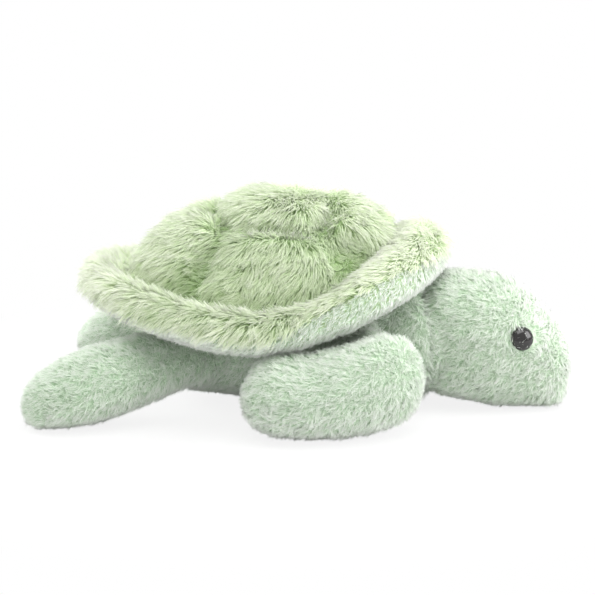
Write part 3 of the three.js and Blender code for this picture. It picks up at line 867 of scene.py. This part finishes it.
def rooted(given, density, seed):
    """Root points with their bend, tip and tone, as one tuft or strand would have them."""
    take = given.also
    wanted = given.node(
        "FunctionNodeCompare", {"data_type": "INT", "operation": "EQUAL"},
        {"A": named(given, "panel", "INT"), "B": take("Panel")})
    covered = density * named(given, "cover")
    points = given.node(
        "GeometryNodeDistributePointsOnFaces", {},
        {"Mesh": given, "Selection": wanted, "Density": covered, "Seed": seed}, "Points")
    up = points.also("Normal")
    root = given.node("GeometryNodeInputPosition")
    swirl = vector_maths("SUBTRACT", noise(root, take("Swirl Scale"), output="Color"), swirl_middle)
    shake = given.node(
        "FunctionNodeRandomValue", {"data_type": "FLOAT_VECTOR"},
        {"Min": (-1, -1, -1), "Max": (1, 1, 1), "Seed": seeds["shake"]})
    comb = named(given, "comb", "FLOAT_VECTOR") + swirl * take("Swirl") + shake * take("Jitter")
    along = unit(comb - up * dot(comb, up))
    length = take("Length") * named(given, "long") * chance(given, *length_spread, seeds["length"])
    lean = take("Lean") * chance(given, *lean_spread, seeds["lean"])
    sine = maths("SINE", lean)
    cosine = maths("COSINE", lean)
    bend = root + up * (length * bend_rise * cosine + length * root_rise) + along * (length * bend_run * sine)
    tip = root + (up * cosine + along * sine) * length
    side = unit(cross(up, along) + up * chance(given, *twist_spread, seeds["twist"]))
    for attribute, value in (
        ("root", root), ("bend", bend), ("tip", tip), ("side", side),
        ("up", unit(cross(tip - root, side))), ("outward", up),
    ):
        points = keep(points, attribute, "FLOAT_VECTOR", value)
    return keep(points, "tone", "FLOAT", chance(given, 0.0, 1.0, seeds["tone"]))


# %% Tufts
pull_spread = (0.6, 1.1)
bend_pull = 0.35
strand_share = 0.35
tuft_share = 0.35
broad_share = 0.4
base_tone = 0.1
broad_scale = 45.0
broad_detail = 3.0
tone_limits = (0.02, 0.98)


def tufted(given):
    """Strand roots, with their tips drawn to those of the nearest tuft, and the tone of each strand with its
    painted light and shade.
    """
    take = given.also
    tufts = rooted(given, take("Tuft Density"), take("Seed") + 1)
    strands = rooted(given, take("Density"), take("Seed"))
    place = given.node("GeometryNodeInputPosition")
    nearest = given.node("GeometryNodeSampleNearest", {}, {"Geometry": tufts, "Sample Position": place})
    pull = take("Tuft Pull") * chance(given, *pull_spread, seeds["pull"])
    for attribute, share in (("tip", pull), ("bend", pull * bend_pull)):
        own = named(given, attribute, "FLOAT_VECTOR")
        gathered = between(own, sampled(tufts, attribute, "FLOAT_VECTOR", nearest), share)
        strands = keep(strands, attribute, "FLOAT_VECTOR", gathered)
    tuft_tone = sampled(tufts, "tone", "FLOAT", nearest)
    broad = noise(place, broad_scale, broad_detail)
    tone = named(given, "tone") * strand_share + tuft_tone * tuft_share + broad * broad_share + base_tone
    # The tint paints light and shade into each strand's tone.
    tone = maths("MINIMUM", tone * named(given, "tint_with_painted_light"), tone_limits[1])
    return keep(strands, "tone", "FLOAT", maths("MAXIMUM", tone, tone_limits[0]))


# %% Strands
swell = 2.8
floor_clearance = 0.3 * mm
bake_margin = 0.02
facet_share = 0.5
spent_attributes = [
    "outward", "root", "bend", "tip", "side", "up", "tone", "t", "off",
    "comb", "long", "cover", "tint_with_painted_light", "panel",
]


def bent_place(given, t):
    """Where a point of a cone goes: along its strand's curve and out from it, and never under the floor."""
    off = split(named(given, "off", "FLOAT_VECTOR"))
    radius = given.also("Radius") * (1 + t * (1 - t) * swell)
    side = named(given, "side", "FLOAT_VECTOR")
    up = named(given, "up", "FLOAT_VECTOR")
    width = side * (off.also("Y") * radius) - up * (off * radius)
    spine = (
        named(given, "root", "FLOAT_VECTOR") * ((1 - t) * (1 - t))
        + named(given, "bend", "FLOAT_VECTOR") * (t * (1 - t) * 2)
        + named(given, "tip", "FLOAT_VECTOR") * (t * t)
    )
    place = split(spine + width)
    height = maths("MAXIMUM", place.also("Z"), floor_clearance)
    return given.node("ShaderNodeCombineXYZ", {}, {"X": place, "Y": place.also("Y"), "Z": height})


def drawn(given, strands, segments):
    """A bent cone on each strand's root, with its tone and place along it as UV, and a soft normal."""
    cone = given.node("GeometryNodeMeshCone", {"fill_type": "NONE"}, {
        "Vertices": 3, "Side Segments": segments, "Radius Top": 0.0, "Radius Bottom": 1.0, "Depth": 1.0})
    rest = given.node("GeometryNodeInputPosition")
    cone = keep(cone, "t", "FLOAT", split(rest).also("Z"))
    cone = keep(cone, "off", "FLOAT_VECTOR", rest)
    pile = given.node("GeometryNodeInstanceOnPoints", {}, {"Points": strands, "Instance": cone})
    pile = given.node("GeometryNodeRealizeInstances", {}, {"Geometry": pile})
    t = named(given, "t")
    pile = given.node(
        "GeometryNodeSetPosition", {}, {"Geometry": pile, "Position": bent_place(given, t)})
    light = given.node(
        "ShaderNodeCombineXYZ", {}, {"X": named(given, "tone"), "Y": t * (1 - 2 * bake_margin) + bake_margin})
    pile = given.node(
        "GeometryNodeStoreNamedAttribute", {"data_type": "FLOAT2", "domain": "CORNER"},
        {"Geometry": pile, "Name": "OFBake", "Value": light})
    facet = given.node("GeometryNodeInputNormal")
    facing = unit(named(given, "outward", "FLOAT_VECTOR") + facet * facet_share)
    return given.node(
        "GeometryNodeSetMeshNormal", {"mode": "FREE", "domain": "CORNER"},
        {"Mesh": pile, "Custom Normal": facing})


# %% Pile tree
pile_inputs = {
    "Panel": "Int", "Density": "Float", "Length": "Float", "Radius": "Float", "Lean": "Float",
    "Tuft Density": "Float", "Tuft Pull": "Float", "Swirl Scale": "Float", "Swirl": "Float",
    "Jitter": "Float", "Seed": "Int", "Material": "Material",
}


def pile_tree(name, segments):
    """Geometry Nodes that grow pile on a skin."""
    tree = bpy.data.node_groups.new(name, "GeometryNodeTree")
    tree.interface.new_socket("Geometry", in_out="INPUT", socket_type="NodeSocketGeometry")
    for socket, kind in pile_inputs.items():
        tree.interface.new_socket(socket, in_out="INPUT", socket_type=f"NodeSocket{kind}")
    tree.interface.new_socket("Geometry", in_out="OUTPUT", socket_type="NodeSocketGeometry")
    given = Value(tree).node("NodeGroupInput", {}, {}, "Geometry")
    pile = drawn(given, tufted(given), segments)
    for spent in spent_attributes:
        pile = given.node("GeometryNodeRemoveAttribute", {}, {"Geometry": pile, "Name": spent})
    pile = given.node("GeometryNodeSetMaterial", {}, {"Geometry": pile, "Material": given.also("Material")})
    end = tree.nodes.new("NodeGroupOutput")
    pile.to(end.inputs["Geometry"])
    return tree


pile_trees = {segments: pile_tree(f"pile_{segments}", segments) for segments in (1, 2)}
print("pile trees of", [len(tree.nodes) for tree in pile_trees.values()], "nodes")

# %% [markdown]
# ## Finishes
#
# Pile looks darkest and most coloured at its roots, where light has bounced among the fibres, and nearly
# white at its tips, which catch the light. The ramps paint that shade and light in, from root to tip. A noise
# over the skin could colour it, but would cut across the strands. So the two numbers that each strand carries
# pick
# its colour: one the place on a ramp from root to tip, the other the share of a light ramp over a dark one,
# which carries the painted light and shade of the combing. A sheen adds the soft glow of fine fibre.

# %% Finishes
middle_stop = 0.45


def new_material(name):
    """An empty node material, its tree and its Principled shader."""
    material = bpy.data.materials.new(name)
    material.use_nodes = True
    tree = material.node_tree
    shader = tree.nodes["Principled BSDF"]
    return material, tree, shader


def pile_material(name, dark, light):
    """A pile finish, from the (root, middle, tip) colours of its darkest and its lightest strands."""
    material, tree, shader = new_material(name)
    tone = split(Value(tree).node("ShaderNodeUVMap", {"uv_map": "OFBake"}))
    ramps = []
    # Each ramp paints shade at the root and light at the tip.
    for root, middle, tip in (dark, light):
        stops = [(0, linear(*root)), (middle_stop, linear(*middle)), (1, linear(*tip))]
        ramps.append(tone.node("ShaderNodeValToRGB", {"stops": stops}, {0: tone.also("Y")}, "Color"))
    colour = tone.node(
        "ShaderNodeMix", {"data_type": "RGBA"}, {"Factor": tone, "A": ramps[0], "B": ramps[1]}, "Result")
    colour.to(shader.inputs["Base Color"])
    shader.inputs["Roughness"].default_value = 0.75
    shader.inputs["Sheen Weight"].default_value = 1.0
    shader.inputs["Sheen Tint"].default_value = linear(*light[2])
    shader.inputs["Sheen Roughness"].default_value = 0.35
    return material


def mottled_material(name, colour, shade, scale, roughness):
    """A finish that wanders between two colours. Also gives its shader and the noise that mixes them."""
    material, tree, shader = new_material(name)
    mottle = noise(Value(tree).node("ShaderNodeTexCoord", {}, {}, "Object"), scale)
    mixed = mottle.node(
        "ShaderNodeMix", {"data_type": "RGBA"},
        {"Factor": mottle, "A": linear(*colour), "B": linear(*shade)}, "Result")
    mixed.to(shader.inputs["Base Color"])
    shader.inputs["Roughness"].default_value = roughness
    return material, shader, mottle


def cloth_material(name, colour, shade):
    """Knitted backing cloth between the pile's roots."""
    material, shader, knit = mottled_material(name, colour, shade, 900.0, 0.9)
    bump = knit.node("ShaderNodeBump", {}, {"Height": knit, "Strength": 0.4, "Distance": 0.3 * mm})
    bump.to(shader.inputs["Normal"])
    return material


# Each ramp runs from painted shade at the root to painted light at the nearly white tip.
sage_pile = pile_material(
    "sage_pile",
    ((112, 162, 104), (164, 202, 154), (242, 250, 238)),
    ((196, 229, 188), (246, 255, 241), (255, 255, 253)),
)
green_pile = pile_material(
    "green_pile",
    ((92, 136, 62), (142, 182, 102), (218, 238, 188)),
    ((182, 220, 140), (237, 253, 210), (255, 255, 248)),
)
body_cloth = cloth_material("body_cloth", (228, 243, 222), (212, 232, 206))
shell_cloth = cloth_material("shell_cloth", (206, 230, 178), (186, 214, 154))
print([m.name for m in (sage_pile, green_pile, body_cloth, shell_cloth)])

# %% [markdown]
# ## Growing the pile
#
# The body's pile is short, fine and curly, so its tufts are small and swirl. The shell's is long and silky,
# so its tufts are large and follow the combing. Each kind could have a tree of its own, but the inputs of
# one are enough. Each panel is grown as a piece of its own on its body's skin. The skin then becomes the
# cloth piece that takes the place of the body's covers and stuffing, which are hidden.

# %% Kinds of pile
short_pile = {
    "Density": 1.75e6, "Length": 5.8 * mm, "Radius": 0.3 * mm, "Lean": 1.05, "Tuft Density": 3.2e5,
    "Tuft Pull": 0.55, "Swirl Scale": 220.0, "Swirl": 5.0, "Jitter": 1.2,
}
rim_pile = short_pile | {"Density": 1.9e6, "Swirl": 2.0, "Jitter": 0.7}
torso_pile = short_pile | {"Density": 1.55e6}
long_pile = {
    "Density": 1.7e6, "Length": 12 * mm, "Radius": 0.26 * mm, "Lean": 1.1, "Tuft Density": 1e5,
    "Tuft Pull": 0.45, "Swirl Scale": 80.0, "Swirl": 2.3, "Jitter": 0.45,
}
print("strands of", round(short_pile["Length"] / mm, 1), "and", round(long_pile["Length"] / mm, 1), "mm")


def new_piece(name, mesh, body, slot):
    """An object of a finished mesh that rides on a body."""
    obj = bpy.data.objects.new(name, mesh)
    scene.collection.objects.link(obj)
    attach(obj, body)
    return obj


def grown(name, skin, segments, values):
    """The pile on one panel of a skin, as a plain mesh."""
    obj = bpy.data.objects.new(name, skin.copy())
    scene.collection.objects.link(obj)
    modifier = obj.modifiers.new("pile", "NODES")
    modifier.node_group = pile_trees[segments]
    for socket in modifier.node_group.interface.items_tree:
        if socket.in_out == "INPUT" and socket.name in values:
            modifier[socket.identifier] = values[socket.name]
    mesh = evaluated_mesh(obj)
    mesh.name = name
    return mesh


# %% Growing the pile
shell_seed = 40
body_seed = 10
triangles = 0
for index, (name, skin) in enumerate(skins.items()):
    body = "torso" if name == "shell" else name
    if name == "shell":
        patches = [(f"shell_pile_{p}", panel, shell_seed + panel) for panel, p in enumerate(shell_panels)]
    else:
        patches = [(f"{name}_pile", 0, body_seed + index)]
    for patch_name, panel, seed in patches:
        silky = name == "shell" and panel != underside_panel
        kinds = {"shell": long_pile if silky else rim_pile, "torso": torso_pile}
        finish = green_pile if silky else sage_pile
        values = kinds.get(name, short_pile) | {"Panel": panel, "Seed": seed, "Material": finish}
        mesh = grown(patch_name, skin, 2 if silky else 1, values)
        piece = new_piece(patch_name, mesh, body, "shell_pile" if silky else "body_pile")
        triangles += sum(len(p.vertices) - 2 for p in mesh.polygons)
        print(piece.name, len(mesh.polygons), "faces")
    skin.materials.clear()
    skin.materials.append(shell_cloth if name == "shell" else body_cloth)
    bag = new_piece(f"{name}_cloth", skin, body, "shell_pile" if name == "shell" else "body_pile")
    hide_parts(*body_nodes[name])
print("pile triangles", triangles)

# %% [markdown]
# ## Eyes
#
# Each eye is a polished black plastic dome on a post that is pushed through the cloth and held by a washer
# inside the head. It could be a squashed sphere, but that has no edge and no post, so it is turned from a
# profile: the post, a thin straight rim, and a dome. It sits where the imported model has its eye.

# %% Eyes
eye_black, eye_shader, _ = mottled_material("eye_black", (14, 12, 12), (26, 22, 22), 220.0, 0.06)
eye_shader.inputs["Coat Weight"].default_value = 0.2
eye_shader.inputs["Coat Roughness"].default_value = 0.02

eye_radius = 7 * mm
eye_height = 5 * mm
eye_edge = 0.8 * mm
eye_sides = 48
dome_rows = 14
post_radius = 2.2 * mm
post_length = 8.5 * mm
eye_forward = math.radians(25)
eye_up = math.radians(15)


def lathed(name, profile, segments, axis, place):
    """A closed turned shape: (radius, height) pairs about an axis that starts at a place."""
    shape = bmesh.new()
    rings = []
    for radius, height in profile:
        steps = segments if radius > 0 else 1
        angles = [math.tau * i / segments for i in range(steps)]
        rings.append([shape.verts.new((radius * math.cos(a), radius * math.sin(a), height)) for a in angles])
    for lower, upper in zip(rings, rings[1:]):
        for i in range(segments):
            j = (i + 1) % segments
            a, b = (lower[k % len(lower)] for k in (i, j))
            c, d = (upper[k % len(upper)] for k in (j, i))
            shape.faces.new(list(dict.fromkeys((a, b, c, d))))
    for face in shape.faces:
        face.smooth = True
    bmesh.ops.recalc_face_normals(shape, faces=shape.faces)
    mesh = bpy.data.meshes.new(name)
    shape.to_mesh(mesh)
    shape.free()
    turn = Vector((0, 0, 1)).rotation_difference(axis).to_matrix().to_4x4()
    mesh.transform(turn)
    mesh.transform(Matrix.Translation(place))
    return mesh


def eye_profile():
    """The (radius, height) pairs of a post, a rim and a dome, from the post's end to the dome's top."""
    profile = [(0, -post_length), (post_radius, -post_length), (post_radius, 0), (eye_radius - eye_edge, 0)]
    for row in range(dome_rows + 1):
        turn = math.pi / 2 * row / dome_rows
        radius = 0 if row == dome_rows else eye_radius * math.cos(turn)
        profile.append((radius, eye_edge + (eye_height - eye_edge) * math.sin(turn)))
    return profile


for side, sign in (("right", -1), ("left", 1)):
    axis = Vector((
        math.sin(eye_forward) * math.cos(eye_up),
        sign * math.cos(eye_forward) * math.cos(eye_up),
        math.sin(eye_up),
    ))
    corners = np.array([v.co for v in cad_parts[f"eye_{side}"].data.vertices])
    top = Vector(corners[(corners @ np.array(axis)).argmax()])
    seat = top - axis * eye_height
    mesh = lathed(f"eye_dome_{side}", eye_profile(), eye_sides, axis, seat)
    mesh.materials.append(eye_black)
    eye = new_piece(f"eye_dome_{side}", mesh, "head", "eye")
    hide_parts(f"eye_{side}")
    print(eye.name, tuple(round(c / mm, 1) for c in seat))

# %% [markdown]
# ## Eye washers
#
# The washers are moulded plastic, out of sight in the head. They could be modelled anew, but the packed
# model's solids are enough, so they only get their finish.

# %% Eye washers
washer_plastic, _, _ = mottled_material("washer_plastic", (236, 233, 224), (222, 219, 210), 500.0, 0.5)
for side in ("right", "left"):
    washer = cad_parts[f"eye_washer_{side}"].data
    washer.materials.clear()
    washer.materials.append(washer_plastic)
    print(f"eye_washer_{side}", washer_plastic.name)

# %% [markdown]
# ## Floor
#
# The toy lies on white paper. A curved backdrop could be modelled, but a large flat floor looks the same
# from every side. It shows a faint shadow where the toy touches it and fades to pure white farther out, for
# the camera alone, so that no extra light falls on the toy.

# %% Floor
floor_half = 3.0
paper_white = 0.95
near_white = 0.86
fade_start = 165 * mm
fade_end = 315 * mm
floor_mesh = bpy.data.meshes.new("floor")
floor_corners = [(x * floor_half, y * floor_half, 0) for x, y in ((-1, -1), (1, -1), (1, 1), (-1, 1))]
floor_mesh.from_pydata(floor_corners, [], [(0, 1, 2, 3)])
floor = bpy.data.objects.new("floor", floor_mesh)
scene.collection.objects.link(floor)
floor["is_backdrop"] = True
paper, paper_tree, paper_shader = new_material("paper")
paper_shader.inputs["Base Color"].default_value = (paper_white, paper_white, paper_white, 1)
paper_shader.inputs["Roughness"].default_value = 1.0
paper_shader.inputs["Specular IOR Level"].default_value = 0.0
spot = Value(paper_tree).node("ShaderNodeTexCoord", {}, {}, "Object")
fade = spot.node("ShaderNodeMapRange", {"interpolation_type": "SMOOTHSTEP"}, {
    "Value": vector_maths("LENGTH", spot, output="Value"), "From Min": fade_start, "From Max": fade_end})
seen = spot.node("ShaderNodeLightPath", {}, {}, "Is Camera Ray")
glow = spot.node("ShaderNodeEmission")
share = (fade * (1 - near_white) + near_white) * seen
lit = Value(paper_tree, paper_shader.outputs[0])
blend = spot.node("ShaderNodeMixShader", {}, {0: share, 1: lit, 2: glow})
blend.to(paper_tree.nodes["Material Output"].inputs["Surface"])
floor_mesh.materials.append(paper)
print("floor", 2 * floor_half, "m wide")

# %% [markdown]
# ## Light
#
# In the photograph the light comes from all round, and the toy casts hardly a shadow. A sun lamp would cast
# a hard one, so a pale room holds three large soft lamps: one above, and one behind each end to pick out the
# pile's edge. The room is pure white where the camera or a gloss sees it, and dimmer where it lights the toy.

# %% Light
ambient = 0.63
lamp_target = Vector((0, 0, 0.05))
world = bpy.data.worlds.new("studio")
world.use_nodes = True
scene.world = world
background = world.node_tree.nodes["Background"]
rays = Value(world.node_tree).node("ShaderNodeLightPath", {}, {}, "Is Camera Ray")
seen = maths("MAXIMUM", rays, rays.also("Is Glossy Ray"))
seen = maths("MAXIMUM", seen, rays.also("Is Transmission Ray"))
(seen * (1 - ambient) + ambient).to(background.inputs["Strength"])
background.inputs["Color"].default_value = (1, 1, 1, 1)


def softbox(name, place, size, power):
    """A large soft lamp that points at the toy."""
    data = bpy.data.lights.new(name, "AREA")
    data.shape = "RECTANGLE"
    data.size, data.size_y = size
    data.energy = power
    aim(bpy.data.objects.new(name, data), Vector(place), lamp_target)
    print(name, power, "W")


softbox("key", (0.25, -0.35, 1.25), (1.1, 0.9), 11)
softbox("back_right", (1.25, -0.2, 0.65), (0.8, 0.8), 10)
softbox("back_left", (-1.15, 0.6, 0.7), (0.8, 0.8), 13)

# %% Sizes
made_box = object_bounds()
for name, box in (("cad", cad_box), ("visual", made_box)):
    print(name, [round(c / mm, 1) for c in (*box[0], *box[1])])
